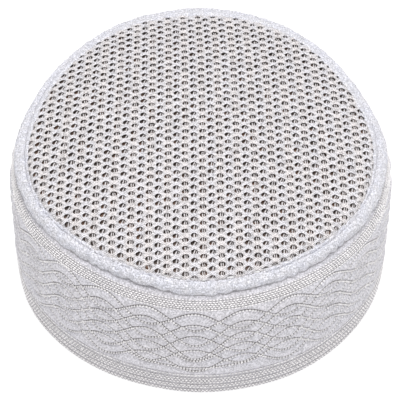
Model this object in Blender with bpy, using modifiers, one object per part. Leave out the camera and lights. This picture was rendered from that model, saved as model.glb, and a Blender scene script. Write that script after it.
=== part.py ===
"""A kufi: a round cap with a mesh top, a padded edge roll and a stiffened satin side.

Units are metres and +Z is up. The cap stands on its flat hem at z = 0 with the origin
at the middle of its footprint, and its front faces -Y.
"""
import math
from collections import namedtuple

import bpy

MM = 0.001

# Driving sizes
HEM_RADIUS = 95.0 * MM
BAND_WALL = 2.6 * MM
SHOULDER_HEIGHT = 74.7 * MM
ROLL_RADIUS = 3.2 * MM
ROLL_RING_RADIUS = 85.6 * MM
CROWN_WALL = 1.6 * MM
CROWN_LEVEL = 83.3 * MM
CROWN_RISE = 5.7 * MM
CROWN_LEVEL_RADIUS = 87.4 * MM
CROWN_FOLD_START = 80.3 * MM
CROWN_FOLD_RADIUS = 4.2 * MM
CROWN_FOLD_SWEEP = math.radians(75)
SEAM_GAP = 0.3 * MM

# The soft ring isn't quite round: three broad lobes, and four slight ones
THREE_LOBES = 0.0148
FOUR_LOBES = 0.0059

# Puckers where the roll is stitched down to the satin
PUCKERS = 84
PUCKER_DEPTH = 0.18 * MM
PUCKER_SIDE = math.radians(-40)

BAND_STEPS = 72
CROWN_STEPS = 72
ROLL_STEPS = 2 * PUCKERS
ROLL_SIDES = 10
FOLD_POINTS = 5
CROWN_RINGS = 7
MERGE_DISTANCE = 0.01 * MM
SHARP_ANGLE = math.radians(40)

# One row for each height of the side's outer face, from the lip under the roll to the hem
Station = namedtuple("Station", "height radius")
BAND_STATIONS = (
    Station(height=SHOULDER_HEIGHT - 0.2 * MM, radius=83.4 * MM),
    Station(height=SHOULDER_HEIGHT, radius=86.2 * MM),
    Station(height=73.7 * MM, radius=88.4 * MM),
    Station(height=71.4 * MM, radius=90.4 * MM),
    Station(height=68.0 * MM, radius=91.8 * MM),
    Station(height=62.0 * MM, radius=92.6 * MM),
    Station(height=52.0 * MM, radius=93.2 * MM),
    Station(height=28.5 * MM, radius=94.0 * MM),
    Station(height=6.0 * MM, radius=HEM_RADIUS),
    Station(height=0.0, radius=HEM_RADIUS),
)

Finish = namedtuple("Finish", "colour roughness sheen")
MESH_COTTON = Finish(colour=(0.80, 0.78, 0.76), roughness=0.85, sheen=0.3)
FUZZY_COTTON = Finish(colour=(0.84, 0.85, 0.88), roughness=0.95, sheen=0.6)
WHITE_SATIN = Finish(colour=(0.68, 0.68, 0.71), roughness=0.45, sheen=0.2)


def lobe_factor(azimuth):
    """How much wider or narrower the ring is at an azimuth, which is 0 at the front."""
    return 1 - THREE_LOBES * math.cos(3 * azimuth) + FOUR_LOBES * math.cos(4 * azimuth)


FOOTPRINT_SHIFT = HEM_RADIUS * (lobe_factor(math.pi) - lobe_factor(0)) / 2


def clear_scene():
    for thing in list(bpy.data.objects):
        bpy.data.objects.remove(thing, do_unlink=True)


def make_collection(name):
    collection = bpy.data.collections.new(name)
    bpy.context.scene.collection.children.link(collection)
    return collection


def make_material(name, finish):
    material = bpy.data.materials.new(name)
    material.use_nodes = True
    shader = material.node_tree.nodes["Principled BSDF"]
    shader.inputs["Base Color"].default_value = (*finish.colour, 1)
    shader.inputs["Roughness"].default_value = finish.roughness
    shader.inputs["Metallic"].default_value = 0.0
    shader.inputs["Sheen Weight"].default_value = finish.sheen
    return material


def turn_profile(name, points, steps, collection, closed=False):
    """An object whose profile, a list of (radius, height) pairs, is turned round Z."""
    verts = [(radius, 0, height) for radius, height in points]
    edges = [(i, i + 1) for i in range(len(verts) - 1)]
    if closed:
        edges.append((len(verts) - 1, 0))
    mesh = bpy.data.meshes.new(name)
    mesh.from_pydata(verts, edges, [])
    turned = bpy.data.objects.new(name, mesh)
    collection.objects.link(turned)
    screw = turned.modifiers.new("Turn", "SCREW")
    screw.axis = "Z"
    screw.steps = steps
    screw.render_steps = steps
    screw.use_merge_vertices = True
    screw.merge_threshold = MERGE_DISTANCE
    return turned


def thicken(shell, wall):
    """Give an open shell its wall, inwards from the face that shows."""
    solidify = shell.modifiers.new("Wall", "SOLIDIFY")
    solidify.thickness = wall
    solidify.offset = -1
    solidify.use_even_offset = True


def freeze(turned):
    """Replace an object's mesh by what its modifiers make of it, and drop them."""
    depsgraph = bpy.context.evaluated_depsgraph_get()
    mesh = bpy.data.meshes.new_from_object(turned.evaluated_get(depsgraph))
    mesh.name = turned.name
    turned.modifiers.clear()
    turned.data = mesh


def shape_plan(turned):
    """Move each point of a round mesh out or in to the cap's real plan."""
    for vertex in turned.data.vertices:
        factor = lobe_factor(math.atan2(vertex.co.x, -vertex.co.y))
        vertex.co.x *= factor
        vertex.co.y = vertex.co.y * factor - FOOTPRINT_SHIFT


def finish_part(turned, finish):
    turned.data.shade_smooth()
    turned.data.set_sharp_from_angle(angle=SHARP_ANGLE)
    turned.data.materials.clear()
    turned.data.materials.append(make_material(turned.name, finish))


def crown_height(radius):
    """Height of the top's outer face, a shallow dome that steepens a little outwards."""
    share = (radius / CROWN_LEVEL_RADIUS) ** 2
    return CROWN_LEVEL + CROWN_RISE * (0.92 * (1 - share) + 0.08 * (1 - share ** 3))


def crown_profile():
    """The dome from its middle outwards, then the fold that turns down to the roll."""
    points = []
    for i in range(CROWN_RINGS):
        radius = CROWN_FOLD_START * i / CROWN_RINGS
        points.append((radius, crown_height(radius)))
    start = crown_height(CROWN_FOLD_START)
    inside = crown_height(CROWN_FOLD_START - MM)
    tilt = math.atan2(inside - start, MM)
    centre_radius = CROWN_FOLD_START - CROWN_FOLD_RADIUS * math.sin(tilt)
    centre_height = start - CROWN_FOLD_RADIUS * math.cos(tilt)
    for i in range(FOLD_POINTS):
        angle = tilt + (CROWN_FOLD_SWEEP - tilt) * i / (FOLD_POINTS - 1)
        radius = centre_radius + CROWN_FOLD_RADIUS * math.sin(angle)
        points.append((radius, centre_height + CROWN_FOLD_RADIUS * math.cos(angle)))
    return points


def roll_profile():
    """The roll's round section, down its outer side and up its inner side."""
    centre_height = SHOULDER_HEIGHT + SEAM_GAP + ROLL_RADIUS
    points = []
    for i in range(ROLL_SIDES):
        angle = math.pi / 2 - 2 * math.pi * i / ROLL_SIDES
        radius = ROLL_RING_RADIUS + ROLL_RADIUS * math.cos(angle)
        points.append((radius, centre_height + ROLL_RADIUS * math.sin(angle)))
    return points


def pucker_roll(roll):
    """Press the roll's outer, lower side in at every second section."""
    centre_height = SHOULDER_HEIGHT + SEAM_GAP + ROLL_RADIUS
    for vertex in roll.data.vertices:
        azimuth = math.atan2(vertex.co.x, -vertex.co.y)
        radius = math.hypot(vertex.co.x, vertex.co.y)
        across = radius - ROLL_RING_RADIUS
        up = vertex.co.z - centre_height
        facing = max(0.0, math.cos(math.atan2(up, across) - PUCKER_SIDE))
        press = PUCKER_DEPTH * facing * (1 - math.cos(PUCKERS * azimuth))
        scale = 1 - press / math.hypot(across, up)
        share = (ROLL_RING_RADIUS + across * scale) / radius
        vertex.co.x *= share
        vertex.co.y *= share
        vertex.co.z = centre_height + up * scale


def build_crown(collection):
    crown = turn_profile("crown_mesh", crown_profile(), CROWN_STEPS, collection)
    thicken(crown, CROWN_WALL)
    freeze(crown)
    shape_plan(crown)
    finish_part(crown, MESH_COTTON)


def build_roll(collection):
    roll = turn_profile("edge_roll", roll_profile(), ROLL_STEPS, collection, closed=True)
    freeze(roll)
    pucker_roll(roll)
    shape_plan(roll)
    finish_part(roll, FUZZY_COTTON)


def build_band(collection):
    points = [(station.radius, station.height) for station in BAND_STATIONS]
    band = turn_profile("side_band", points, BAND_STEPS, collection)
    thicken(band, BAND_WALL)
    freeze(band)
    shape_plan(band)
    finish_part(band, WHITE_SATIN)


def main():
    clear_scene()
    kufi = make_collection("kufi")
    build_crown(kufi)
    build_roll(kufi)
    build_band(kufi)


main()
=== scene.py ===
"""The looks of a kufi: knitted top, fuzzy edge roll, quilted satin side and its stitches.

Run as a script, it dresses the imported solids. Units are metres, +Z is up, and the front
of the cap faces -Y. An azimuth is 0 at the front and grows to the viewer's right.
"""
import math

import bpy
import numpy as np
from bpy.props import FloatProperty, FloatVectorProperty, PointerProperty
from mathutils import Matrix, Vector, kdtree, noise


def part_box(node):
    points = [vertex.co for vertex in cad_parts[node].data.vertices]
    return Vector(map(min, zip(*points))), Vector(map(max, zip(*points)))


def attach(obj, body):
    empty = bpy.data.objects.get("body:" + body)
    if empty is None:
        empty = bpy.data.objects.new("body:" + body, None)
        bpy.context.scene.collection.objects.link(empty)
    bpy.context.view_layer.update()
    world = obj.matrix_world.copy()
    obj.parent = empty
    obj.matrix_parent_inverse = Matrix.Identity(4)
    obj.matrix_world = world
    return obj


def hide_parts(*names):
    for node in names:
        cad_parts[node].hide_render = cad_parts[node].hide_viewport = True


bl_info = {
    "name": "Kufi maker",
    "version": (1, 0, 0),
    "blender": (4, 5, 0),
    "location": "View3D > Sidebar > Kufi",
    "description": "Models a knitted and quilted kufi around its solids",
    "category": "Object",
}

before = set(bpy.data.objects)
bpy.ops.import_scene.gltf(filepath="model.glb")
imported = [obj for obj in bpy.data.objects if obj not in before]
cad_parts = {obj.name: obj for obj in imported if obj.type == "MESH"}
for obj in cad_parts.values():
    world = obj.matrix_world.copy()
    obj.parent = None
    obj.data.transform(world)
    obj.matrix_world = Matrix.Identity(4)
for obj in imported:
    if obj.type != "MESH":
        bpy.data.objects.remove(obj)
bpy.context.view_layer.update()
CROWN_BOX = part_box("crown_mesh")
ROLL_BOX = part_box("edge_roll")

MM = 0.001

# The plan of the solids: three broad lobes and four slight ones
THREE_LOBES = 0.0148
FOUR_LOBES = 0.0059
HEM_RADIUS = 95.0 * MM

# Outer face of the side from the hem to the lip under the roll: height and radius. Then
# the radius of the lip's inner edge and the thickness of the wall
BAND_HEIGHTS = np.array([0.0, 6.0, 28.5, 52.0, 62.0, 68.0, 71.4, 73.7, 74.7, 74.6]) * MM
BAND_RADII = np.array([95.0, 95.0, 94.0, 93.2, 92.6, 91.8, 90.4, 88.4, 86.2, 83.4]) * MM
LIP_RADIUS = 83.6 * MM
BAND_THICKNESS = 2.34 * MM

# The top: a shallow dome, the fold that turns down to the roll, and the dome's tilt in
# radians where the fold starts. DOME_ROUND is the share of the rise that is a plain bowl
CROWN_RISE = 5.7 * MM
DOME_ROUND = 0.92
CROWN_APEX = CROWN_BOX[1].z
CROWN_LEVEL = CROWN_APEX - CROWN_RISE
CROWN_LEVEL_RADIUS = 87.4 * MM
FOLD_START = 80.3 * MM
FOLD_RADIUS = 4.2 * MM
FOLD_SWEEP = math.radians(85)
RIM_TILT = 0.13
# Flat radius at which the fold ends
FOLD_END = FOLD_START + FOLD_RADIUS * (FOLD_SWEEP - RIM_TILT)

# The roll's round section
ROLL_RADIUS = (ROLL_BOX[1].z - ROLL_BOX[0].z) / 2
ROLL_HEIGHT = (ROLL_BOX[1].z + ROLL_BOX[0].z) / 2
ROLL_RING_RADIUS = 85.6 * MM

# The lip of fuzz: the part of the section that makes it, how thick it lies on the knit, and
# the share of it that runs inwards before it turns back under
LIP_FROM = math.radians(100)
LIP_TO = math.radians(200)
LIP_COVER = 0.7 * MM
LIP_TURN = 0.62

# The puckers of the roll's lower edge: how many, and their depth as a share of its radius
SCALLOPS = 52
SCALLOP_DEPTH = 0.32

# Where on the section the lower edge lies, at the front and elsewhere, how wide the painted
# shadow line along its crease is, and where the painted shade on the roll's hidden inner side ends
LOWER_EDGE = math.radians(-62)
SIDE_EDGE = math.radians(-8)
CREASE_SHADOW_WIDTH = math.radians(7)
HIDDEN_SHADE_END = math.radians(262)

# The roll's section where it droops over the side: angle and share of the round radius
DROOP_ANGLES = np.radians([-100, -80, -70, -62, -54, -45, -30, 0, 30, 60, 80, 100])
DROOP_SHARES = np.array([1.0, 1.08, 1.17, 1.23, 1.02, 0.86, 0.71, 0.60, 0.61, 0.70, 0.86, 1.0])
# Azimuths, to either side, from which the roll droops and at which it does so fully
DROOP_FROM = math.radians(90)
DROOP_TO = math.radians(50)

# The knit: staggered columns of holes, turned and slanted a little. A cell has a rim of 12
# points, and its hole's edge lies below the knit's face
COLUMN_PITCH = 4.078 * MM
HOLE_PITCH = 4.461 * MM
KNIT_TURN = math.radians(1.17)
KNIT_SLANT = -0.084 * MM
KNIT_CENTRE = Vector((0.634, -24.545)) * MM
CELL_SIDES = 12
HOLE_EDGE = -0.2 * MM

# The last holes at the back are drawn in: azimuths where that starts and is full, and width
BACK_FROM = math.radians(120)
BACK_TO = math.radians(150)
BACK_WIDTH = 8 * MM

# How the knit is pulled out of true, in millimetres: powers of x and y over the pull's reach
PULL_REACH = 85 * MM
KNIT_PULL = {
    (0, 0): (0.17, 0.03), (0, 1): (0.06, 0.87), (0, 2): (-0.88, 0.73), (0, 3): (-1.07, -1.60),
    (1, 0): (-0.70, -0.75), (1, 1): (-1.82, 0.77), (1, 2): (-1.44, 2.86),
    (2, 0): (-0.04, -0.69), (2, 1): (1.41, 0.71), (3, 0): (1.58, 0.93),
}

# How the knit is pulled near its edge, in millimetres outwards and around, at every 30
# degrees from 15 degrees past the back round by the left
EDGE_PULL_OUT = (0.1, -0.45, -0.3, -0.3, -0.7, 0.35, 0.35, -0.15, 0.1, -0.5, -0.1, 0.3)
EDGE_PULL_ROUND = (0.1, 0.15, 0.3, 0.6, -1.0, -0.1, -0.2, 0.1, 0.1, -0.4, -0.5, 0.3)
EDGE_PULL_INNER = 60 * MM
EDGE_PULL_OUTER = 80 * MM

# How the cloth settles off the regular plan, in millimetres outwards, at every 15 degrees
# from the back round by the left: at the roll, and at the hem
ROLL_SETTLE = (-0.2, -0.25, 0.6, -0.1, -0.65, -1.45, -1.0, -0.3, 0.1, -0.9, -1.2, -0.2,
               0.4, -0.2, -0.6, -0.3, -0.1, -0.8, -0.9, -2.1, -1.9, -0.55, 0.15, -0.2)
HEM_SETTLE = (0.0, 0.0, 0.0, -0.3, -0.5, -0.6, -0.6, -0.75, 0.6, 0.7, 0.3, -0.4,
              -0.25, -0.2, 0.45, 0.4, 0.35, 0.1, -0.6, -0.9, -0.6, -0.3, 0.0, 0.0)
# Radii on the top between which the settling sets in
SETTLE_INNER = 55 * MM
SETTLE_OUTER = 82 * MM
# How far the roll hangs over the side beyond its regular section, the same way round
ROLL_HANG = (0.0, 0.0, 0.0, 0.0, 0.0, 0.4, 1.4, 2.0, 1.3, 0.5, -0.3, -0.7,
             0.7, -0.5, 0.5, -0.4, 0.9, 1.9, 1.3, 0.3, 0.0, 0.0, 0.0, 0.0)
# Where the roll's fuzz ends on the knit, at every 15 degrees from the front to the back
LIP_EDGE = (85.3, 85.1, 84.5, 84.4, 84.9, 84.2, 82.0, 81.4, 80.8, 80.6, 80.0, 79.3, 78.0)

# Nodes of the wave pattern, where every line has a crest or a trough
NODE_COUNT = 26
FRONT_NODE = math.radians(-1.0)

# The point of the cap that both lamps shine at
LAMP_AIM = Vector((0, 0, 0.05))


class KufiCloth(bpy.types.PropertyGroup):
    """Sizes and colours of the cloth."""

    hole_width: FloatProperty(
        name="Hole width", description="Width of a knit hole", default=3.2 * MM, unit="LENGTH")
    hole_depth: FloatProperty(
        name="Hole depth", description="Front to back size of a knit hole", default=2.8 * MM,
        unit="LENGTH")
    knit_wall: FloatProperty(
        name="Knit thickness", description="Thickness of the knit's face", default=1.0 * MM,
        unit="LENGTH")
    puff: FloatProperty(
        name="Quilt puff", description="Height of the padding between stitch lines",
        default=1.7 * MM, unit="LENGTH")
    stitch_pitch: FloatProperty(
        name="Stitch pitch", description="Spacing of the stitches", default=1.54 * MM,
        unit="LENGTH")
    hem_pitch: FloatProperty(
        name="Hem stitch pitch", description="Spacing of stitches at the hem", default=1.75 * MM,
        unit="LENGTH")
    knit_colour: FloatVectorProperty(
        name="Knit", description="Colour of the knitted cotton", subtype="COLOR",
        default=(0.885, 0.855, 0.868))
    fuzz_colour: FloatVectorProperty(
        name="Roll", description="Colour of the fuzzy cotton roll", subtype="COLOR",
        default=(0.80, 0.80, 0.845))
    satin_colour: FloatVectorProperty(
        name="Satin", description="Colour of the satin", subtype="COLOR",
        default=(0.64, 0.63, 0.66))
    thread_colour: FloatVectorProperty(
        name="Thread", description="Colour of the stitches", subtype="COLOR",
        default=(0.96, 0.94, 0.945))
    # Painted shade colour: between and beside the stitches and in the roll's crease
    painted_shade_colour: FloatVectorProperty(
        name="Painted shade", description="Colour between the stitches", subtype="COLOR",
        default=(0.24, 0.225, 0.225))
    # Painted shade for the holes: the colour of the upward faces of the knit's back layer
    shade_colour: FloatVectorProperty(
        name="Inside", description="Colour seen through the holes", subtype="COLOR",
        default=(0.14, 0.112, 0.10))


class KufiStage(bpy.types.PropertyGroup):
    """Camera and light."""

    distance: FloatProperty(
        name="Distance", description="Camera to the middle of the rim", default=0.6722,
        unit="LENGTH")
    elevation: FloatProperty(
        name="Elevation", description="Camera's height angle over the rim",
        default=math.radians(49.27), subtype="ANGLE")
    aim_drop: FloatProperty(
        name="Aim drop", description="How far below the rim's middle it looks",
        default=math.radians(2.669), subtype="ANGLE")
    pan: FloatProperty(
        name="Pan", description="How far left of the rim's middle it looks",
        default=math.radians(0.0175), subtype="ANGLE")
    roll: FloatProperty(
        name="Roll", description="Turn of the camera about its view", default=math.radians(0.886),
        subtype="ANGLE")
    lens: FloatProperty(
        name="Lens", description="Focal length", default=125.82, subtype="DISTANCE_CAMERA")
    sky: FloatProperty(
        name="Ambient light", description="Strength of the even white light", default=0.58)
    softbox: FloatProperty(
        name="Softbox", description="Power of the large lamp overhead", default=8.6, unit="POWER")
    front_fill: FloatProperty(
        name="Front fill", description="Power of the lamp in front", default=3.3, unit="POWER")


def fade(value, start, end):
    """From 0 to 1 as a value goes from start to end."""
    return np.clip((value - start) / (end - start), 0, 1)


def lobe_factor(azimuth):
    """How much wider or narrower the ring is at an azimuth."""
    return 1 - THREE_LOBES * np.cos(3 * azimuth) + FOUR_LOBES * np.cos(4 * azimuth)


FOOTPRINT_SHIFT = float(HEM_RADIUS * (lobe_factor(math.pi) - lobe_factor(0.0)) / 2)


def around_track(values, azimuth):
    """A smooth closed curve through values at even azimuths that start at the back."""
    values = np.asarray(values)
    count = len(values)
    turn = (azimuth + math.pi) / (2 * math.pi) * count
    low = np.floor(turn).astype(int)
    t = turn - low
    before, start, end, after = (values[(low + step) % count] for step in (-1, 0, 1, 2))
    bend = (3 * (start - end) + after - before) * t
    return start + t / 2 * (end - before + t * (2 * before - 5 * start + 4 * end - after + bend))


def settle(azimuth, radius, height):
    """How far the cloth lies outwards of the regular plan."""
    level = fade(height, 0, ROLL_HEIGHT)
    outer = fade(radius, SETTLE_INNER, SETTLE_OUTER)
    hem = around_track(HEM_SETTLE, azimuth)
    roll = around_track(ROLL_SETTLE, azimuth)
    return (hem + (roll - hem) * level ** 1.5) * MM * outer ** 2 * (3 - 2 * outer)


def ring_place(azimuth, radius, height):
    """Points of the cap at given azimuths, round radii and heights."""
    reach = (radius + settle(azimuth, radius, height)) * lobe_factor(azimuth)
    x = reach * np.sin(azimuth)
    y = -reach * np.cos(azimuth) - FOOTPRINT_SHIFT
    return np.stack(np.broadcast_arrays(x, y, height), axis=-1)


def ring_unplace(x, y):
    """Azimuth and round radius of points of the top given by x and y."""
    back = y + FOOTPRINT_SHIFT
    azimuth = np.arctan2(x, -back)
    reach = np.hypot(x, back) / lobe_factor(azimuth)
    radius = reach
    for repeat in range(4):
        radius = reach - settle(azimuth, radius, ROLL_HEIGHT)
    return azimuth, radius


def smooth_track(values, stops, samples):
    """A smooth curve through values at rising stops, read at many samples."""
    slopes = np.gradient(values, stops)
    index = np.clip(np.searchsorted(stops, samples) - 1, 0, len(stops) - 2)
    span = stops[index + 1] - stops[index]
    t = (samples - stops[index]) / span
    start = (1 + 2 * t) * (1 - t) ** 2 * values[index] + t * (1 - t) ** 2 * span * slopes[index]
    end = t * t * (3 - 2 * t) * values[index + 1] - t * t * (1 - t) * span * slopes[index + 1]
    return start + end


def band_track():
    """The side's outer profile, finely sampled: length along it, radius, height and normal."""
    steps = np.hypot(np.diff(BAND_RADII), np.diff(BAND_HEIGHTS))
    stops = np.concatenate([[0.0], np.cumsum(steps)])
    length = np.linspace(0, stops[-1], 600)
    radius = smooth_track(BAND_RADII, stops, length)
    height = smooth_track(BAND_HEIGHTS, stops, length)
    along = np.stack([np.gradient(radius, length), np.gradient(height, length)])
    along /= np.linalg.norm(along, axis=0)
    return length, radius, height, along[1], -along[0]


TRACK_LENGTH, TRACK_RADIUS, TRACK_HEIGHT, TRACK_OUT, TRACK_UP = band_track()
RISING = int(np.argmax(TRACK_HEIGHT))


def band_length_at(height):
    """Length along the profile at which it reaches a height."""
    return np.interp(height, TRACK_HEIGHT[:RISING], TRACK_LENGTH[:RISING])


def band_place(azimuth, length, lift):
    """Points over the side's face, lifted off it along its normal."""
    radius, height, out, up = (np.interp(length, TRACK_LENGTH, track) for track in
                               (TRACK_RADIUS, TRACK_HEIGHT, TRACK_OUT, TRACK_UP))
    return ring_place(azimuth, radius + lift * out, height + lift * up)


def crown_profile(radius, drop):
    """Ring radius and height of the top's surface at flat radii, sunk by drop."""
    share = np.minimum(radius, FOLD_START) / CROWN_LEVEL_RADIUS
    flat = 1 - DOME_ROUND
    height = CROWN_LEVEL + CROWN_RISE * (DOME_ROUND * (1 - share ** 2) + flat * (1 - share ** 6))
    slope = 2 * DOME_ROUND * share + 6 * flat * share ** 5
    tilt = np.arctan(CROWN_RISE / CROWN_LEVEL_RADIUS * slope)
    beyond = np.maximum(radius - FOLD_START, 0.0)
    turn = np.minimum(tilt + beyond / FOLD_RADIUS, FOLD_SWEEP)
    bend = np.where(beyond > 0, FOLD_RADIUS, 0.0)
    ring = np.minimum(radius, FOLD_START) + bend * (np.sin(turn) - np.sin(tilt))
    level = height - bend * (np.cos(tilt) - np.cos(turn))
    return ring - drop * np.sin(turn), level - drop * np.cos(turn)


def crown_place(x, y, drop):
    """Points of the flat knit laid over the dome and down the fold, sunk by drop."""
    azimuth, radius = ring_unplace(x, y)
    return ring_place(azimuth, *crown_profile(radius, drop))


def deselect_all():
    """Leave edit mode and select nothing."""
    if bpy.context.object and bpy.context.object.mode != "OBJECT":
        bpy.ops.object.mode_set(mode="OBJECT")
    bpy.ops.object.select_all(action="DESELECT")


def take_primitive(name, add, **sizes):
    """Add a primitive at the origin with nothing else selected, and name it."""
    deselect_all()
    add(location=(0, 0, 0), **sizes)
    made = bpy.context.object
    made.name = name
    made.data.name = name
    return made


def activate(piece):
    """Select one piece alone and make it the active one."""
    deselect_all()
    piece.select_set(True)
    bpy.context.view_layer.objects.active = piece


def apply_modifier(piece, kind, **settings):
    """Add one modifier with its settings and apply it."""
    activate(piece)
    modifier = piece.modifiers.new(kind.title(), kind)
    for key, value in settings.items():
        setattr(modifier, key, value)
    bpy.ops.object.modifier_apply(modifier=modifier.name)


def read_points(mesh):
    points = np.empty(len(mesh.vertices) * 3)
    mesh.vertices.foreach_get("co", points)
    return points.reshape(-1, 3)


def write_points(mesh, points):
    mesh.vertices.foreach_set("co", np.ascontiguousarray(points, dtype=np.float32).ravel())
    mesh.update()


def write_attribute(mesh, name, values):
    layer = mesh.attributes.new(name, "FLOAT", "POINT")
    layer.data.foreach_set("value", np.ascontiguousarray(values, dtype=np.float32).ravel())


def join_pieces(pieces, name):
    """Join pieces into the first one and name it."""
    deselect_all()
    for piece in pieces:
        piece.select_set(True)
    bpy.context.view_layer.objects.active = pieces[0]
    bpy.ops.object.join()
    pieces[0].name = name
    pieces[0].data.name = name
    return pieces[0]


def edit_all(piece, *steps):
    """Run edit mode operators on the whole mesh."""
    activate(piece)
    bpy.ops.object.mode_set(mode="EDIT")
    bpy.ops.mesh.select_all(action="SELECT")
    for step, settings in steps:
        step(**settings)
    bpy.ops.object.mode_set(mode="OBJECT")


def close_up(piece, gap):
    """Merge points closer than a gap and turn every face outwards."""
    edit_all(piece, (bpy.ops.mesh.remove_doubles, {"threshold": gap}),
             (bpy.ops.mesh.normals_make_consistent, {"inside": False}))


def smooth(piece, angle=180):
    """Shade a piece smooth across edges up to an angle in degrees."""
    activate(piece)
    bpy.ops.object.shade_smooth_by_angle(angle=math.radians(angle))


def hand_over(piece, material, slot, *nodes):
    """Give a finished piece its material and its place on the cap."""
    piece.data.materials.clear()
    piece.data.materials.append(material)
    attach(piece, "root")
    if nodes:
        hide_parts(*nodes)


class Field:
    """A shader socket that takes part in Python arithmetic."""

    def __init__(self, recipe, socket):
        self.recipe = recipe
        self.socket = socket

    def maths(self, operation, *others, swap=False):
        """A Math node on this field and the others, or on them in reverse."""
        values = [self, *others]
        if swap:
            values.reverse()
        return self.recipe.node("ShaderNodeMath", dict(enumerate(values)), operation=operation)

    def __add__(self, other):
        return self.maths("ADD", other)

    def __sub__(self, other):
        return self.maths("SUBTRACT", other)

    def __rsub__(self, other):
        return self.maths("SUBTRACT", other, swap=True)

    def __mul__(self, other):
        return self.maths("MULTIPLY", other)

    __radd__ = __add__
    __rmul__ = __mul__


class Recipe:
    """A material being built round its Principled shader."""

    def __init__(self, name, **steady):
        self.material = bpy.data.materials.new(name)
        self.material.use_nodes = True
        self.tree = self.material.node_tree
        self.shader = self.tree.nodes["Principled BSDF"]
        for key, value in steady.items():
            self.shader.inputs[key.replace("_", " ").title()].default_value = value

    def node(self, kind, inputs=None, output=0, **settings):
        """Add any node: its settings first, then the values or links of its sockets."""
        made = self.tree.nodes.new(kind)
        for key, value in settings.items():
            setattr(made, key, value)
        for key, value in (inputs or {}).items():
            self.feed(made.inputs[key], value)
        return Field(self, made.outputs[output])

    def feed(self, socket, value):
        """Link a field to a socket, or set the socket's own value."""
        if isinstance(value, Field):
            self.tree.links.new(value.socket, socket)
        else:
            socket.default_value = value

    def place(self):
        return self.node("ShaderNodeTexCoord", output="Object")

    def attribute(self, name):
        return self.node("ShaderNodeAttribute", output="Fac", attribute_name=name)

    def noise(self, vector, scale, detail=3.0, rough=0.5):
        return self.node("ShaderNodeTexNoise", {"Vector": vector, "Scale": scale,
                         "Detail": detail, "Roughness": rough}, output="Fac")

    def contrast(self, value, low, high):
        """Spread a narrow range of a value over 0 to 1."""
        return self.node("ShaderNodeMapRange", {"Value": value, "From Min": low, "From Max": high})

    def blend(self, factor, first, second, blend_type="MIX"):
        """Mix two colours."""
        first, second = (colour if isinstance(colour, Field) else (*colour, 1)
                         for colour in (first, second))
        return self.node("ShaderNodeMix", {"Factor": factor, 6: first, 7: second}, output=2,
                         data_type="RGBA", blend_type=blend_type)

    def tinted(self, colour, tint):
        """Multiply one colour by another."""
        return self.blend(1.0, colour, tint, "MULTIPLY")

    def bump(self, height, depth):
        """A normal raised by a height from 0 to 1 over a depth."""
        return self.node("ShaderNodeBump", {"Height": height, "Distance": depth, "Strength": 1.0})

    def finish(self, colour=None, roughness=None, normal=None):
        """Feed the shader what changes over the surface, and return the material."""
        for key, value in (("Base Color", colour), ("Roughness", roughness), ("Normal", normal)):
            if value is not None:
                self.feed(self.shader.inputs[key], value)
        return self.material


def scaled(colour, *shares):
    """A colour with its channels multiplied by one share, or by one each."""
    shares = shares if len(shares) > 1 else shares * 3
    return tuple(channel * share for channel, share in zip(colour, shares))


def knit_material(cloth):
    """Cotton yarn whose ribs lean away from each hole column, with small pinholes between; painted
    shade darkens the rib valleys and the pinholes.
    """
    recipe = Recipe("knit_cotton", roughness=0.85, sheen_weight=0.15)
    place = recipe.place()
    across = recipe.attribute("knit_x") * (1 / COLUMN_PITCH)
    along = recipe.attribute("knit_y") * (1 / HOLE_PITCH)
    side = ((across + 0.5).maths("FRACT") - 0.5).maths("ABSOLUTE") * 2
    ribs = recipe.contrast(((along * 5 + side * 1.6) * 2 * math.pi).maths("SINE"), -0.5, 0.8)
    pins = ((along * 2 + 0.2) * 2 * math.pi).maths("SINE") * 0.5 + 0.5
    pins = pins.maths("POWER", 4.0) * side.maths("POWER", 7.0)
    uneven = recipe.noise(place, 1100.0, detail=1.0)
    cool = recipe.noise(place, 260.0, detail=1.0)
    column = (across * math.pi).maths("COSINE") * 0.35
    tint = recipe.blend(recipe.contrast(cool - column, 0.1, 0.9),
                        (1.0, 0.98, 0.965), (0.95, 0.965, 1.0))
    # Painted shade darkens the rib valleys, where the bump sinks; the uneven noise adds the yarn's
    # random tone
    yarn = recipe.blend(ribs * 0.55 + recipe.contrast(uneven, 0.42, 0.64) * 0.45,
                        cloth.knit_colour, scaled(cloth.knit_colour, 0.33))
    # Painted shade in the pinholes, which the bump also sinks
    colour = recipe.blend(pins, recipe.tinted(yarn, tint), scaled(cloth.knit_colour, 0.3))
    height = uneven * 0.5 - ribs * 0.6 - pins
    return recipe.finish(colour=colour, normal=recipe.bump(height, 0.16 * MM))


def shade_material(cloth):
    """Painted shade above, browner in patches, where it shows through the holes, and white knit
    below.
    """
    recipe = Recipe("knit_back", roughness=0.95)
    facing = recipe.node("ShaderNodeNewGeometry", output="Normal")
    upward = recipe.node("ShaderNodeSeparateXYZ", {"Vector": facing}, output="Z")
    # Painted shade: faces that look up, seen through the holes, take the dark shade colour, browner
    # in patches
    above = upward.maths("GREATER_THAN", 0.0)
    warm = recipe.contrast(recipe.noise(recipe.place(), 160.0, detail=2.0), 0.5, 0.68)
    brown = scaled(cloth.shade_colour, 2.1, 1.65, 1.35)
    dark = recipe.blend(warm, cloth.shade_colour, brown)
    return recipe.finish(colour=recipe.blend(above, cloth.knit_colour, dark))


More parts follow.
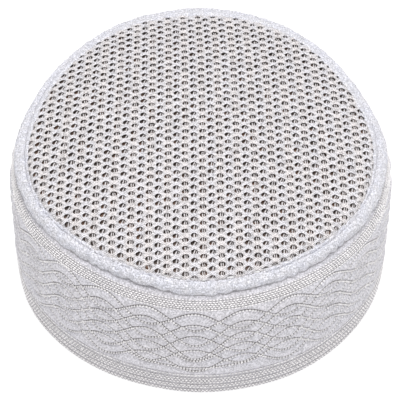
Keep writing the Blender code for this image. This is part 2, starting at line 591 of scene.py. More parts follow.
def fuzz_material(cloth):
    """Matt curled fibres in faintly blue and pink lumps, with painted shade along the lower crease
    and on the hidden inner side.
    """
    recipe = Recipe("fuzzy_cotton", roughness=0.95, sheen_weight=0.3, sheen_roughness=0.6)
    place = recipe.place()
    curls = recipe.contrast(recipe.noise(place, 1300.0, detail=2.0, rough=0.65), 0.36, 0.62)
    lumps = recipe.noise(place, 260.0, detail=2.0)
    crease = recipe.attribute("crease")
    colour = recipe.blend(curls, scaled(cloth.fuzz_colour, 0.64), scaled(cloth.fuzz_colour, 1.17))
    tint = recipe.blend(recipe.contrast(lumps, 0.3, 0.7), (1.0, 0.985, 0.985), (0.95, 0.955, 1.0))
    normal = recipe.bump(curls + lumps, 0.35 * MM)
    # Painted shade: the crease's shadow line and the roll's hidden inner side take the dark shade
    # colour
    colour = recipe.blend(crease * 0.75, recipe.tinted(colour, tint), cloth.painted_shade_colour)
    return recipe.finish(colour=colour, normal=normal)


def satin_material(cloth):
    """Fine weave with soft colour clouds, with painted shade beside the stitch lines and between the
    border stitches.
    """
    recipe = Recipe("white_satin", sheen_weight=0.1)
    place = recipe.place()
    seam = recipe.contrast(recipe.attribute("seam"), 0.85, 0.3)
    weave = recipe.contrast(recipe.noise(place, 1150.0, detail=1.0, rough=0.6), 0.36, 0.64)
    cloudy = recipe.noise(place, 60.0, detail=2.0)
    colour = recipe.blend(weave, scaled(cloth.satin_colour, 0.70), scaled(cloth.satin_colour, 1.18))
    colour = recipe.tinted(colour, recipe.blend(cloudy, (1.0, 0.98, 0.98), (0.95, 0.96, 1.0)))
    # Painted shade: beside the wave lines and between the border stitches the satin takes the dark
    # shade colour
    colour = recipe.blend(seam.maths("MAXIMUM", recipe.attribute("border")), colour, cloth.painted_shade_colour)
    roughness = 0.42 + cloudy * 0.1 + seam * 0.2
    return recipe.finish(colour=colour, roughness=roughness,
                         normal=recipe.bump(weave, 0.10 * MM))


def thread_material(cloth):
    """Cream thread, a little duller in places."""
    recipe = Recipe("cream_thread", roughness=0.5, sheen_weight=0.1)
    place = recipe.place()
    change = recipe.contrast(recipe.noise(place, 600.0, detail=2.0), 0.35, 0.65)
    colour = recipe.blend(change, scaled(cloth.thread_colour, 0.8), cloth.thread_colour)
    return recipe.finish(colour=colour, normal=recipe.bump(change, 0.05 * MM))


def knit_unit(name, model_cell):
    """Two staggered cells, each modelled by a function of its column's parity."""
    cells = []
    for parity in (0, 1):
        cell = model_cell(parity)
        cell.data.transform(Matrix.Translation((parity * COLUMN_PITCH, parity * HOLE_PITCH / 2, 0)))
        cells.append(cell)
    return join_pieces(cells, name)


def spread_knit(unit, merge):
    """Repeat the unit over a field that covers the top, with its middle at the origin."""
    spare = 1.15
    reach = FOLD_START * spare
    columns = 2 * math.ceil(reach / (2 * COLUMN_PITCH)) + 2
    rows = 2 * math.ceil((reach + abs(KNIT_CENTRE.y)) / HOLE_PITCH) + 2
    for count, step in ((columns, (2 * COLUMN_PITCH, 0, 0)), (rows, (0, HOLE_PITCH, 0))):
        apply_modifier(unit, "ARRAY", use_relative_offset=False, use_constant_offset=True,
                       constant_offset_displace=step, count=count,
                       use_merge_vertices=merge, merge_threshold=0.01 * MM)
    points = read_points(unit.data)
    points[:, 0] -= (columns // 2) * 2 * COLUMN_PITCH
    points[:, 1] -= (rows // 2) * HOLE_PITCH
    write_points(unit.data, points)


def cell_centres(points):
    """The centre, in the flat knit, of the cell that each point belongs to."""
    column = np.round(points[:, 0] / COLUMN_PITCH)
    stagger = (column % 2) / 2
    row = np.round(points[:, 1] / HOLE_PITCH - stagger) + stagger
    return np.stack([column * COLUMN_PITCH, row * HOLE_PITCH], axis=-1)


def cell_change(centres):
    """Three random numbers from -1 to 1 for each cell, the same at every call."""
    repeat = 64
    table = np.random.default_rng(3).uniform(-1, 1, (repeat, repeat, 3))
    column = np.round(centres[:, 0] / COLUMN_PITCH).astype(int) % repeat
    row = np.floor(centres[:, 1] / HOLE_PITCH + 0.25).astype(int) % repeat
    return table[column, row]


def turn_knit(flat):
    """From the flat knit's own axes to the cap's x and y."""
    u = flat[:, 0]
    v = -flat[:, 1] + KNIT_SLANT * u / COLUMN_PITCH
    cos, sin = math.cos(KNIT_TURN), math.sin(KNIT_TURN)
    x = KNIT_CENTRE.x + cos * u + sin * v
    y = KNIT_CENTRE.y + sin * u - cos * v
    reach = np.maximum(np.hypot(x, y), 1e-6)
    inside = np.minimum(1.0, (PULL_REACH - MM) / reach) / PULL_REACH
    pull = [sum(shift[side] * (x * inside) ** a * (y * inside) ** b
                for (a, b), shift in KNIT_PULL.items()) * MM for side in (0, 1)]
    x, y = x + pull[0], y + pull[1]
    reach = np.hypot(x, y)
    azimuth = np.arctan2(x, -y)
    share = fade(reach, EDGE_PULL_INNER, EDGE_PULL_OUTER) ** 2
    turned = (azimuth - math.radians(15) + math.pi) % (2 * math.pi) - math.pi
    out = around_track(EDGE_PULL_OUT, turned) * share * MM
    angle = azimuth + around_track(EDGE_PULL_ROUND, turned) * share * MM / np.maximum(reach, MM)
    return (reach + out) * np.sin(angle), -(reach + out) * np.cos(angle) - FOOTPRINT_SHIFT


def lip_edge(azimuth):
    """Flat radius at which the roll's fuzz ends on the knit."""
    both_sides = (*reversed(LIP_EDGE), *LIP_EDGE[1:-1])
    return around_track(both_sides, azimuth) * MM


def hole_limit(azimuth):
    """Flat radius out to which the knit is open: a little way in under the fuzz."""
    under_fuzz = 1.8 * MM
    return lip_edge(azimuth) + under_fuzz


def keep_cells(piece, limit, centres):
    """Delete the faces of cells whose centres lie beyond a limit radius."""
    x, y = turn_knit(centres)
    azimuth, radius = ring_unplace(x, y)
    outside = radius > limit(azimuth)
    edit_all(piece, (bpy.ops.mesh.select_all, {"action": "DESELECT"}))
    piece.data.vertices.foreach_set("select", outside)
    bpy.ops.object.mode_set(mode="EDIT")
    bpy.ops.mesh.delete(type="VERT")
    bpy.ops.object.mode_set(mode="OBJECT")


def square_cell(angle):
    """Points round the edge of a cell, so that staggered cells share their corners."""
    x = COLUMN_PITCH / 2 * np.clip(2 * np.cos(angle), -1, 1)
    y = HOLE_PITCH / 4 * np.round(2 * np.sin(angle))
    return x, y


def hole_outline(angle, cloth):
    """An arched hole with a loop of yarn that pushes in from the front."""
    x = cloth.hole_width / 2 * np.cos(angle)
    loop_depth = 0.55 * MM
    from_front = (angle - 1.5 * math.pi) / math.radians(28)
    y = cloth.hole_depth / 2 * np.sin(angle) + loop_depth * np.exp(-from_front ** 2)
    return x, y


def face_cell(cloth):
    """One knit cell: rings from its shared edge over a rounded yarn to the hole."""
    shares = np.array([0.0, 0.55, 1.0])
    lifts = np.array([0.0, 0.16 * MM, HOLE_EDGE])

    def model(parity):
        cell = take_primitive("cell", bpy.ops.mesh.primitive_circle_add,
                              vertices=CELL_SIDES, radius=1.0, fill_type="NOTHING")
        activate(cell)
        bpy.ops.object.mode_set(mode="EDIT")
        bpy.ops.mesh.select_all(action="SELECT")
        for ring in shares[1:]:
            bpy.ops.mesh.extrude_region_move()
            bpy.ops.transform.resize(value=(0.5, 0.5, 0.5))
        bpy.ops.object.mode_set(mode="OBJECT")
        points = read_points(cell.data)
        radius = np.hypot(points[:, 0], points[:, 1])
        angle = np.arctan2(points[:, 1], points[:, 0]) % (2 * math.pi)
        level = np.round(-np.log2(radius)).astype(int)
        outer_x, outer_y = square_cell(angle)
        inner_x, inner_y = hole_outline(angle, cloth)
        share = shares[level]
        points[:, 0] = outer_x + (inner_x - outer_x) * share
        points[:, 1] = outer_y + (inner_y - outer_y) * share
        points[:, 2] = lifts[level]
        write_points(cell.data, points)
        return cell

    return model


def strand_cell(cloth):
    """The spacer yarns that cross under a hole: upright ones, or slanted ones."""
    # Each strand of a column: where it starts and ends to the side, and its radius, in mm
    across = {1: ((-0.45, 0.45, 0.34), (0.85, 1.3, 0.2)),
              0: ((-0.25, -0.2, 0.3), (0.75, 0.7, 0.22))}
    span = cloth.hole_depth * 1.25
    top_drop, slope = 0.75 * MM, 0.45 * MM

    def model(parity):
        strands = []
        for front_x, back_x, radius in across[parity]:
            strand = take_primitive("strand", bpy.ops.mesh.primitive_cylinder_add, vertices=5,
                                    radius=radius * MM, depth=span)
            points = read_points(strand.data)
            run = points[:, 2] / span + 0.5
            side, rise = points[:, 0].copy(), points[:, 1].copy()
            points[:, 0] = side + (front_x + (back_x - front_x) * run) * MM
            points[:, 1] = (run - 0.5) * span
            points[:, 2] = rise - (top_drop + slope * run)
            write_points(strand.data, points)
            strands.append(strand)
        return join_pieces(strands, "strands")

    return model


def make_knit_face(cloth):
    """The knitted top: open cells inside the hole limit and closed ones outside it."""
    face = knit_unit("knit_face", face_cell(cloth))
    spread_knit(face, True)
    weld = 0.02 * MM
    edit_all(face, (bpy.ops.mesh.remove_doubles, {"threshold": weld}))
    keep_cells(face, lambda azimuth: FOLD_END + 0.3 * HOLE_PITCH + 0 * azimuth,
               read_points(face.data)[:, :2])
    points = read_points(face.data)
    centres = cell_centres(points)
    azimuth, radius = ring_unplace(*turn_knit(centres))
    closed = radius > hole_limit(azimuth)
    inner = points[:, 2] < HOLE_EDGE / 2
    shut = closed & inner
    open_hole = inner & ~closed
    at_edge = fade(radius - hole_limit(azimuth), -BACK_WIDTH, 0)
    at_back = fade(np.abs(azimuth), BACK_FROM, BACK_TO)
    drawn_in = (at_edge * at_back)[open_hole, None]
    change = cell_change(centres)[open_hole]
    shrink, uneven_size, uneven_place = 0.3, 0.06, 0.16 * MM
    shut_height = 0.1 * MM
    loose = points[open_hole]
    loose[:, :2] += ((loose[:, :2] - centres[open_hole])
                     * (change[:, 2:] * uneven_size - shrink * drawn_in))
    loose[:, :2] += change[:, :2] * uneven_place
    points[open_hole] = loose
    points[shut, :2] = centres[shut]
    points[shut, 2] = shut_height
    write_attribute(face.data, "knit_x", points[:, 0])
    write_attribute(face.data, "knit_y", points[:, 1])
    lift = points[:, 2].copy()
    x, y = turn_knit(points)
    azimuth, radius = ring_unplace(x, y)
    beyond = radius > FOLD_END
    placed = crown_place(x, y, -lift)
    rim = ring_place(azimuth, FOLD_END, ROLL_HEIGHT)
    held = crown_place(rim[:, 0], rim[:, 1], -lift)
    placed[beyond] = held[beyond]
    write_points(face.data, placed)
    close_up(face, weld)
    apply_modifier(face, "SOLIDIFY", thickness=cloth.knit_wall, offset=-1.0)
    smooth(face, 60)
    return face


def make_strands(cloth):
    """The spacer yarns under every open hole, each a little out of place."""
    strands = knit_unit("knit_strands", strand_cell(cloth))
    spread_knit(strands, False)
    last_hole = 84.4 * MM
    keep_cells(strands, lambda azimuth: np.minimum(hole_limit(azimuth), last_hole),
               cell_centres(read_points(strands.data)))
    points = read_points(strands.data)
    centres = cell_centres(points)
    change = cell_change(centres[:, ::-1])
    uneven_place, uneven_lean = 0.2 * MM, 0.2
    lean = (points[:, 1] - centres[:, 1]) * change[:, 2] * uneven_lean
    points[:, 0] += change[:, 0] * uneven_place + lean
    points[:, 2] += change[:, 1] * uneven_place
    x, y = turn_knit(points)
    write_points(strands.data, crown_place(x, y, -points[:, 2]))
    edit_all(strands, (bpy.ops.mesh.normals_make_consistent, {"inside": False}))
    smooth(strands, 60)
    return strands


def make_knit_back():
    """The closed back layer of the knit: a square grid rounded to a thin dome."""
    cells = 48
    back = take_primitive("knit_back", bpy.ops.mesh.primitive_grid_add, x_subdivisions=cells,
                          y_subdivisions=cells, size=2.0)
    points = read_points(back.data)
    reach = FOLD_START + 5.6 * MM
    middle_drop, rim_drop = 2.2 * MM, 1.5 * MM
    u, v = points[:, 0].copy(), points[:, 1].copy()
    x = reach * u * np.sqrt(1 - v * v / 2)
    y = reach * v * np.sqrt(1 - u * u / 2)
    round_place = ring_place(np.arctan2(x, -y), np.hypot(x, y), ROLL_HEIGHT)
    rim_from, rim_to = 78 * MM, 83 * MM
    rim = fade(np.hypot(x, y), rim_from, rim_to)
    drop = middle_drop + (rim_drop - middle_drop) * rim
    write_points(back.data, crown_place(round_place[:, 0], round_place[:, 1], drop))
    apply_modifier(back, "SOLIDIFY", thickness=0.4 * MM, offset=-1.0)
    smooth(back)
    return back


def take_ring(name, around, rows, table, **attributes):
    """A grid wrapped into a closed ring whose points come from a table of around by rows."""
    ring = take_primitive(name, bpy.ops.mesh.primitive_grid_add, x_subdivisions=around,
                          y_subdivisions=rows, size=1.0)
    points = read_points(ring.data)
    column = np.round((points[:, 0] + 0.5) * around).astype(int) % around
    row = np.round((points[:, 1] + 0.5) * rows).astype(int) % rows
    write_points(ring.data, table[column, row])
    for key, values in attributes.items():
        write_attribute(ring.data, key, values[column, row])
    close_up(ring, 0.001 * MM)
    return ring


def around_noise(azimuth, scale, layer):
    """Smooth wander round the ring, one number from -1 to 1 for each azimuth."""
    return np.array([noise.noise((scale * math.sin(a), scale * math.cos(a), layer))
                     for a in azimuth[:, 0]])[:, None]


def rough(points, *layers):
    """Unevenness at each point: layers of scale, in waves to the metre, and height."""
    flat = points.reshape(-1, 3)
    total = np.zeros(len(flat))
    for scale, height in layers:
        total += height * np.array([noise.noise(Vector(point) * scale) for point in flat])
    return total.reshape(points.shape[:-1])


def lip_section(azimuth, section):
    """The roll's inner side, laid over the edge of the knit and tucked back under it."""
    ragged = 0.9 * MM
    edge = lip_edge(azimuth) + ragged * around_noise(azimuth, 25, 5.0)
    turn = fade(section, LIP_FROM, LIP_TO)
    inward = fade(turn, 0, LIP_TURN)
    back = fade(turn, LIP_TURN, 1)
    tuck, shortest = 1.2 * MM, 1.2 * MM
    over = crown_profile(FOLD_END + (edge - FOLD_END) * inward, -LIP_COVER * (1 - inward ** 4))
    under = crown_profile(edge + (FOLD_END - edge) * back, tuck)
    share = fade(FOLD_END - edge, 0, shortest) * ((turn > 0) & (turn < 1))
    ring, level = ((1 - back) * high + back * low for high, low in zip(over, under))
    return ring, level, share * (1 - back ** 2)


def make_roll():
    """The padded roll: scalloped below, with a lip of fuzz that lies on the knit."""
    around, sides = 1500, 64
    azimuth = np.linspace(-math.pi, math.pi, around, endpoint=False)[:, None]
    section = np.linspace(0, 2 * math.pi, sides, endpoint=False)[None, :]
    turned = (section + math.pi) % (2 * math.pi) - math.pi
    uneven_scallops, scallop_middle = 7, 0.62
    wave = SCALLOPS / 2 * azimuth + uneven_scallops * around_noise(azimuth, 4, 0.0)
    scallop = np.abs(np.sin(wave)) - scallop_middle
    lower = np.clip(np.cos(section - LOWER_EDGE), 0, 1)
    droop = np.interp(turned, DROOP_ANGLES, DROOP_SHARES)
    drooping = fade(np.abs(azimuth), DROOP_FROM, DROOP_TO)
    edge = SIDE_EDGE + (LOWER_EDGE - SIDE_EDGE) * drooping
    side_dip = 0.3
    hang_way = edge - side_dip * (1 - drooping)
    hang = around_track(ROLL_HANG, azimuth) * MM * np.clip(np.cos(section - hang_way), 0, 1)

    def at(swell):
        share = 1 + (droop - 1) * drooping + SCALLOP_DEPTH * lower ** 3 * scallop
        radius = ROLL_RADIUS * share + swell
        ring = ROLL_RING_RADIUS + radius * np.cos(section) + hang * np.cos(hang_way)
        level = ROLL_HEIGHT + radius * np.sin(section) + hang * np.sin(hang_way)
        lip_ring, lip_level, share = lip_section(azimuth, section)
        ring = ring + (lip_ring + swell * np.cos(section) - ring) * share
        level = level + (lip_level + swell * np.sin(section) - level) * share
        return ring_place(azimuth, ring, level)

    smooth_place = at(np.zeros((around, sides)))
    fuzz = rough(smooth_place, (200, 0.35 * MM), (620, 0.30 * MM), (1300, 0.22 * MM))
    lip_share = lip_section(azimuth, np.full((1, 1), LIP_FROM + 0.01))[2]
    # Painted shade: a dark line along the lower crease, weaker at the sides, and the inner side
    # hidden under the knit
    least_lip, side_crease = 0.3, 0.3
    covered = np.where(lip_share > least_lip, math.radians(164), math.radians(123))
    lower_crease = (np.exp(-((turned - edge) / CREASE_SHADOW_WIDTH) ** 2)
                    * (side_crease + (1 - side_crease) * drooping))
    crease = np.maximum(lower_crease, (section > covered) & (section < HIDDEN_SHADE_END))
    roll = take_ring("fuzzy_roll", around, sides, at(fuzz), crease=crease)
    smooth(roll)
    return roll


# The chart of the stitched waves, in millimetres above the hem. Each row is a node; the
# front node is number 0 and the numbers grow to the viewer's right. "even" lines crest at
# even nodes and "odd" lines at odd nodes.
USUAL_CREST = (66.8, 60.2, 51.5, 42.5, 33.2)
USUAL_TROUGH = (54.8, 45.2, 35.6, 26.2, 19.4)
FRONT_CHART = {
    -3: {"crest": (68.0, 61.5, 53.0, 43.5, 34.0), "trough": (56.5, 46.0, 37.0, 27.5, 20.0)},
    -2: {"crest": (67.3, 60.2, 51.7, 42.3, 33.3), "trough": (54.3, 45.0, 36.0, 26.7, 19.7)},
    -1: {"crest": (66.5, 59.3, 50.5, 40.5, 30.8), "trough": (54.3, 43.5, 33.0, 24.3, 23.2)},
    0: {"crest": (65.8, 57.5, 48.7, 37.3, 22.2), "trough": (53.3, 41.0, 29.7, 28.2, 19.8)},
    1: {"crest": (65.8, 58.0, 49.5, 41.0, 31.4), "trough": (53.0, 44.0, 34.5, 25.0, 24.0)},
    2: {"crest": (66.5, 60.0, 51.0, 43.0, 33.0), "trough": (54.7, 45.5, 35.5, 26.0, 19.4)},
    3: {"crest": (67.0, 61.0, 52.5, 43.0, 33.5), "trough": (55.3, 45.7, 35.5, 25.5, 18.8)},
}


def wave_heights(azimuth, family, number):
    """Height of one wave line; family 0 crests at even nodes and family 1 at odd ones."""
    step = 2 * math.pi / NODE_COUNT
    position = (azimuth - FRONT_NODE) / step
    low = np.floor(position).astype(int)
    share = position - low
    blend = (1 - np.cos(math.pi * share)) / 2

    def at_node(node):
        node = (node + NODE_COUNT // 2) % NODE_COUNT - NODE_COUNT // 2
        kind = "crest" if (node - family) % 2 == 0 else "trough"
        usual = USUAL_CREST if kind == "crest" else USUAL_TROUGH
        return FRONT_CHART.get(node, {}).get(kind, usual)[number]

    table = {node: at_node(node) for node in range(int(low.min()), int(low.max()) + 2)}
    start = np.array([table[node] for node in low])
    end = np.array([table[node + 1] for node in low])
    return (start + (end - start) * blend) * MM


def wave_lines(outer_side):
    """Every wave line as azimuths and lengths, shifted towards the outer side of its bends."""
    azimuth = np.linspace(-math.pi, math.pi, 1441)
    phase = (azimuth - FRONT_NODE) / (2 * math.pi / NODE_COUNT)
    return [(azimuth, band_length_at(wave_heights(azimuth, family, number))
             + outer_side * np.cos(math.pi * (phase - family)))
            for family in (0, 1) for number in range(5)]


# Rows of border stitches: height, slant in degrees, half length and half width
TOP_ROWS = ((68.5, 5, 0.66, 0.34), (69.6, -8, 0.62, 0.32), (70.5, 8, 0.66, 0.33),
            (71.4, -8, 0.66, 0.33), (72.2, 8, 0.64, 0.32), (73.0, -6, 0.54, 0.28))
BOTTOM_ROWS = ((16.5, 0, 0.76, 0.46), (13.7, 12, 0.62, 0.50), (12.1, -22, 0.64, 0.52),
               (10.5, 22, 0.64, 0.52), (8.0, -15, 0.66, 0.52), (6.5, 20, 0.66, 0.52),
               (3.7, -20, 0.66, 0.50), (2.4, 10, 0.56, 0.38))
# The quilting puffs between these heights
TOP_BORDER = 68.4 * MM
BOTTOM_BORDER = 17.6 * MM
# How much painted shade greys the satin between the border stitches, and where
TOP_SHADE = 0.44
TOP_MIDDLE = 70.65 * MM
TOP_REACH = 2.6 * MM
BOTTOM_SHADE = 0.38
BOTTOM_REACH = 15.9 * MM
# The seam shadow distance, in millimetres, of satin that is beside no wave line, so it gets no
# painted shade
NO_SEAM = 9.0


def seam_distance(azimuth, length, lines):
    """Distance from points of the side to the nearest wave line."""
    tree = kdtree.KDTree(sum(len(line[0]) for line in lines))
    index = 0
    for line_azimuth, line_length in lines:
        for a, s in zip(line_azimuth, line_length):
            tree.insert((a * HEM_RADIUS, s, 0), index)
            index += 1
    tree.balance()
    return np.array([tree.find((a * HEM_RADIUS, s, 0))[2] for a, s in zip(azimuth, length)])


def make_satin(cloth):
    """The quilted satin: puffed between the stitch lines, flat in the borders."""
    around, inner, outer = 800, 6, 112
    azimuth = np.linspace(-math.pi, math.pi, around, endpoint=False)[:, None]
    hem_turn = 1.2 * MM
    length = np.linspace(hem_turn, TRACK_LENGTH[-1], outer)[None, :] + 0 * azimuth
    spread = azimuth + 0 * length
    shadow_side = 0.2 * MM
    distance, shadow = (seam_distance(spread.ravel(), length.ravel(), wave_lines(side))
                        .reshape(around, outer) for side in (0.0, shadow_side))
    height = np.interp(length, TRACK_LENGTH, TRACK_HEIGHT)
    top_fade, bottom_fade, seam_width, rise = 2.5 * MM, 1.5 * MM, 1.3 * MM, 0.55
    field = (fade(height, TOP_BORDER, TOP_BORDER - top_fade)
             * fade(height, BOTTOM_BORDER, BOTTOM_BORDER + bottom_fade))
    puff = cloth.puff * field * (rise - np.exp(-(distance / seam_width) ** 1.5))
    # Painted shade: distance to each wave line shifted towards the outer side of its bends
    seam = np.where(field > 0, shadow / MM, NO_SEAM)
    # Painted shade greys the satin between the border stitch rows
    border = (TOP_SHADE * (np.abs(height - TOP_MIDDLE) < TOP_REACH)
              + BOTTOM_SHADE * (height < BOTTOM_REACH))
    face = band_place(spread, length, puff)
    turn = np.linspace(0, 1, inner)
    hem_lift, lip_wall = hem_turn * 0.3, 1.6 * MM
    inside_height = hem_lift + (TRACK_HEIGHT[-1] - lip_wall - hem_lift) * (1 - turn)
    inside_radius = np.interp(inside_height, TRACK_HEIGHT[:RISING], TRACK_RADIUS[:RISING])
    inside_radius -= BAND_THICKNESS
    inside_radius[0] = LIP_RADIUS
    inside_height[-1] = 0.0
    inside_radius[-1] = HEM_RADIUS - hem_turn
    back = ring_place(azimuth, inside_radius[None, :], inside_height[None, :])
    points = np.concatenate([face, back], axis=1)
    seam, border = (np.concatenate([values, np.full((around, inner), hidden)], axis=1)
                    for values, hidden in ((seam, NO_SEAM), (border, 0.0)))
    satin = take_ring("quilted_satin", around, inner + outer, points, seam=seam, border=border)
    smooth(satin, 60)
    return satin


def bead_mesh():
    """Points and faces of one stitch: a small rounded form, long along X."""
    bead = take_primitive("bead", bpy.ops.mesh.primitive_ico_sphere_add, subdivisions=1, radius=1.0)
    points = read_points(bead.data)
    widest, bluntness = 0.86, 0.6
    points[:, 0] = np.sign(points[:, 0]) * np.abs(points[:, 0] / widest) ** bluntness
    faces = np.array([tuple(face.vertices) for face in bead.data.polygons])
    bpy.data.objects.remove(bead)
    return points, faces


def lay_stitches(name, centres, along, up, size, slant):
    """One mesh of many stitches, each a grain turned by slant from the line it follows."""
    shape, faces = bead_mesh()
    across = np.cross(up, along)
    cos, sin = np.cos(slant)[:, None], np.sin(slant)[:, None]
    long_axis = along * cos + across * sin
    side_axis = across * cos - along * sin
    local = shape[None, :, :] * np.asarray(size)[:, None, :]
    points = (centres[:, None, :] + local[..., 0:1] * long_axis[:, None, :]
              + local[..., 1:2] * side_axis[:, None, :] + local[..., 2:3] * up[:, None, :])
    shifted = faces[None, :, :] + (np.arange(len(centres)) * len(shape))[:, None, None]
    mesh = bpy.data.meshes.new(name)
    mesh.from_pydata(points.reshape(-1, 3), [], shifted.reshape(-1, 3))
    stitches = bpy.data.objects.new(name, mesh)
    bpy.context.scene.collection.objects.link(stitches)
    smooth(stitches)
    return stitches


def walk(azimuth, length, pitch, start):
    """Even steps along a line on the side, from a share of a step: azimuth and length at each."""
    placed = band_place(azimuth, length, 0.0)
    run = np.concatenate([[0.0], np.cumsum(np.linalg.norm(np.diff(placed, axis=0), axis=1))])
    count = int(round(run[-1] / pitch))
    stops = (np.arange(count) + start) * run[-1] / count
    return np.interp(stops, run, azimuth), np.interp(stops, run, length)


def band_axes(azimuth, length, lift, next_azimuth, next_length):
    """Place, direction and outward normal of stitches on the side."""
    centre = band_place(azimuth, length, lift)
    along = band_place(next_azimuth, next_length, lift) - centre
    along /= np.linalg.norm(along, axis=1)[:, None]
    up = band_place(azimuth, length, lift + MM) - centre
    up -= along * np.sum(up * along, axis=1)[:, None]
    up /= np.linalg.norm(up, axis=1)[:, None]
    return centre, along, up


def stitch_line(azimuth, length, pitch, lift, size, slant, start, rng):
    """Centres, axes, sizes and slants of the stitches of one line."""
    turn, run = walk(azimuth, length, pitch, start)
    glance = 0.002
    ahead = turn + glance
    centre, along, up = band_axes(turn, run, lift, ahead, np.interp(ahead, azimuth, length))
    smallest, largest, uneven_slant = 0.75, 1.15, 0.35
    sizes = np.asarray(size) * rng.uniform(smallest, largest, (len(turn), 3))
    slants = slant + rng.uniform(-uneven_slant, uneven_slant, len(turn))
    return centre, along, up, sizes, slants


def join_lines(name, lines):
    """One mesh of the stitches of several lines."""
    parts = [np.concatenate(column) for column in zip(*lines)]
    return lay_stitches(name, *parts)


def make_wave_stitches(cloth):
    """Small beads along the wave lines, sunk with the satin and clear of its painted shadow line."""
    rng = np.random.default_rng(4)
    size = (0.56 * MM, 0.54 * MM, 0.60 * MM)
    sunk = 0.42 * cloth.puff
    lift = 0.62 * MM - sunk
    inner_side = -0.12 * MM
    lines = [stitch_line(azimuth, length, cloth.stitch_pitch, lift, size, math.radians(35), 0.0, rng)
             for azimuth, length in wave_lines(inner_side)]
    return join_lines("wave_stitches", lines)


def make_border_stitches(name, rows, pitch, seed):
    """Level rows of stitches, every second row shifted by half a pitch."""
    rng = np.random.default_rng(seed)
    azimuth = np.linspace(-math.pi, math.pi, 721)
    lift, half_height = 0.25 * MM, 0.42 * MM
    lines = []
    for number, (height, slant, half_length, half_width) in enumerate(rows):
        length = band_length_at(height * MM) + 0 * azimuth
        size = (half_length * MM, half_width * MM, half_height)
        start = 0.5 * (number % 2)
        lines.append(stitch_line(azimuth, length, pitch, lift, size, math.radians(slant), start,
                                 rng))
    return join_lines(name, lines)


def make_camera(stage):
    """The camera in front of the cap and above it, at the photograph's angle."""
    data = bpy.data.cameras.new("camera")
    data.lens = stage.lens
    data.clip_start = 0.01
    camera = bpy.data.objects.new("camera", data)
    bpy.context.scene.collection.objects.link(camera)
    rim = Vector((0, -FOOTPRINT_SHIFT, CROWN_LEVEL))
    back = Vector((0, -math.cos(stage.elevation), math.sin(stage.elevation)))
    tilt = math.pi / 2 - stage.elevation - stage.aim_drop
    camera.matrix_world = (Matrix.Translation(rim + back * stage.distance)
                           @ Matrix.Rotation(tilt, 4, "X") @ Matrix.Rotation(stage.pan, 4, "Y")
                           @ Matrix.Rotation(stage.roll, 4, "Z"))
    bpy.context.scene.camera = camera


def make_lamp(name, place, size, power):
    """A round area lamp that shines at the cap."""
    data = bpy.data.lights.new(name, "AREA")
    data.shape = "DISK"
    data.size = size
    data.energy = power
    lamp = bpy.data.objects.new(name, data)
    bpy.context.scene.collection.objects.link(lamp)
    lamp.location = place
    lamp.rotation_euler = (LAMP_AIM - Vector(place)).to_track_quat("-Z", "Y").to_euler()


def make_floor():
    """A plain white floor."""
    floor = take_primitive("floor", bpy.ops.mesh.primitive_plane_add, size=8.0)
    recipe = Recipe("pale_floor", roughness=0.9)
    recipe.shader.inputs["Base Color"].default_value = (0.35, 0.35, 0.35, 1)
    recipe.shader.inputs["Specular IOR Level"].default_value = 0.0
    recipe.shader.inputs["Emission Color"].default_value = (1, 1, 1, 1)
    recipe.shader.inputs["Emission Strength"].default_value = 0.8
    floor.data.materials.append(recipe.material)


def make_world(stage):
    """Even white light from all round."""
    world = bpy.data.worlds.new("soft_white")
    world.use_nodes = True
    world.node_tree.nodes["Background"].inputs["Color"].default_value = (1, 1, 1, 1)
    world.node_tree.nodes["Background"].inputs["Strength"].default_value = stage.sky
    bpy.context.scene.world = world
    bpy.context.scene.view_settings.view_transform = "Standard"


class KUFI_OT_knit_top(bpy.types.Operator):
    """Model the knitted top with its holes, spacer yarns and back layer."""

    bl_idname = "kufi.knit_top"
    bl_label = "Knitted top"

    def execute(self, context):
        cloth = context.scene.kufi_cloth
        knit = knit_material(cloth)
        hand_over(make_knit_face(cloth), knit, "mesh_cotton", "crown_mesh")
        hand_over(make_strands(cloth), knit, "mesh_cotton")
        # The back layer's top carries painted shade that shows through the holes; its underside is
        # white knit
        hand_over(make_knit_back(), shade_material(cloth), "mesh_cotton")
        return {"FINISHED"}


class KUFI_OT_edge_roll(bpy.types.Operator):
    """Model the padded fuzzy roll."""

    bl_idname = "kufi.edge_roll"
    bl_label = "Edge roll"

    def execute(self, context):
        cloth = context.scene.kufi_cloth
        roll = make_roll()
        hand_over(roll, fuzz_material(cloth), "fuzzy_cotton", "edge_roll")
        return {"FINISHED"}


class KUFI_OT_satin_side(bpy.types.Operator):
    """Model the quilted satin side."""

    bl_idname = "kufi.satin_side"
    bl_label = "Satin side"

    def execute(self, context):
        cloth = context.scene.kufi_cloth
        hand_over(make_satin(cloth), satin_material(cloth), "white_satin", "side_band")
        return {"FINISHED"}


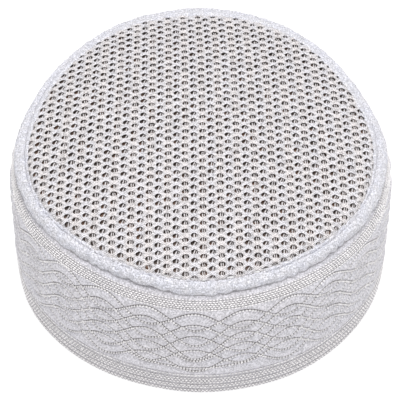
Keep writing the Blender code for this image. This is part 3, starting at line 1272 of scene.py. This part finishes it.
class KUFI_OT_stitches(bpy.types.Operator):
    """Lay the wave stitches and the stitched borders."""

    bl_idname = "kufi.stitches"
    bl_label = "Stitches"

    def execute(self, context):
        cloth = context.scene.kufi_cloth
        thread = thread_material(cloth)
        hand_over(make_wave_stitches(cloth), thread, "white_satin")
        for border in (("top_border", TOP_ROWS, cloth.stitch_pitch, 5),
                       ("bottom_border", BOTTOM_ROWS, cloth.hem_pitch, 6)):
            hand_over(make_border_stitches(*border), thread, "white_satin")
        return {"FINISHED"}


class KUFI_OT_stage(bpy.types.Operator):
    """Set up the camera, the floor and the soft light."""

    bl_idname = "kufi.stage"
    bl_label = "Stage"

    def execute(self, context):
        stage = context.scene.kufi_stage
        make_camera(stage)
        make_floor()
        make_world(stage)
        make_lamp("softbox", (0.05, -0.04, 1.1), 0.6, stage.softbox)
        make_lamp("front_fill", (0.1, -1.3, 0.8), 0.9, stage.front_fill)
        return {"FINISHED"}


class KUFI_PT_panel(bpy.types.Panel):
    """The steps of making the kufi."""

    bl_idname = "KUFI_PT_panel"
    bl_label = "Kufi"
    bl_space_type = "VIEW_3D"
    bl_region_type = "UI"
    bl_category = "Kufi"

    def draw(self, context):
        for operator in OPERATORS:
            self.layout.operator(operator.bl_idname)


OPERATORS = (KUFI_OT_knit_top, KUFI_OT_edge_roll, KUFI_OT_satin_side, KUFI_OT_stitches,
             KUFI_OT_stage)
CLASSES = (KufiCloth, KufiStage, *OPERATORS, KUFI_PT_panel)


def register():
    for item in CLASSES:
        bpy.utils.register_class(item)
    bpy.types.Scene.kufi_cloth = PointerProperty(type=KufiCloth)
    bpy.types.Scene.kufi_stage = PointerProperty(type=KufiStage)


def unregister():
    del bpy.types.Scene.kufi_stage
    del bpy.types.Scene.kufi_cloth
    for item in reversed(CLASSES):
        bpy.utils.unregister_class(item)


def main():
    register()
    bpy.ops.kufi.stage()
    bpy.ops.kufi.knit_top()
    bpy.ops.kufi.edge_roll()
    bpy.ops.kufi.satin_side()
    bpy.ops.kufi.stitches()


if __name__ == "__main__":
    main()
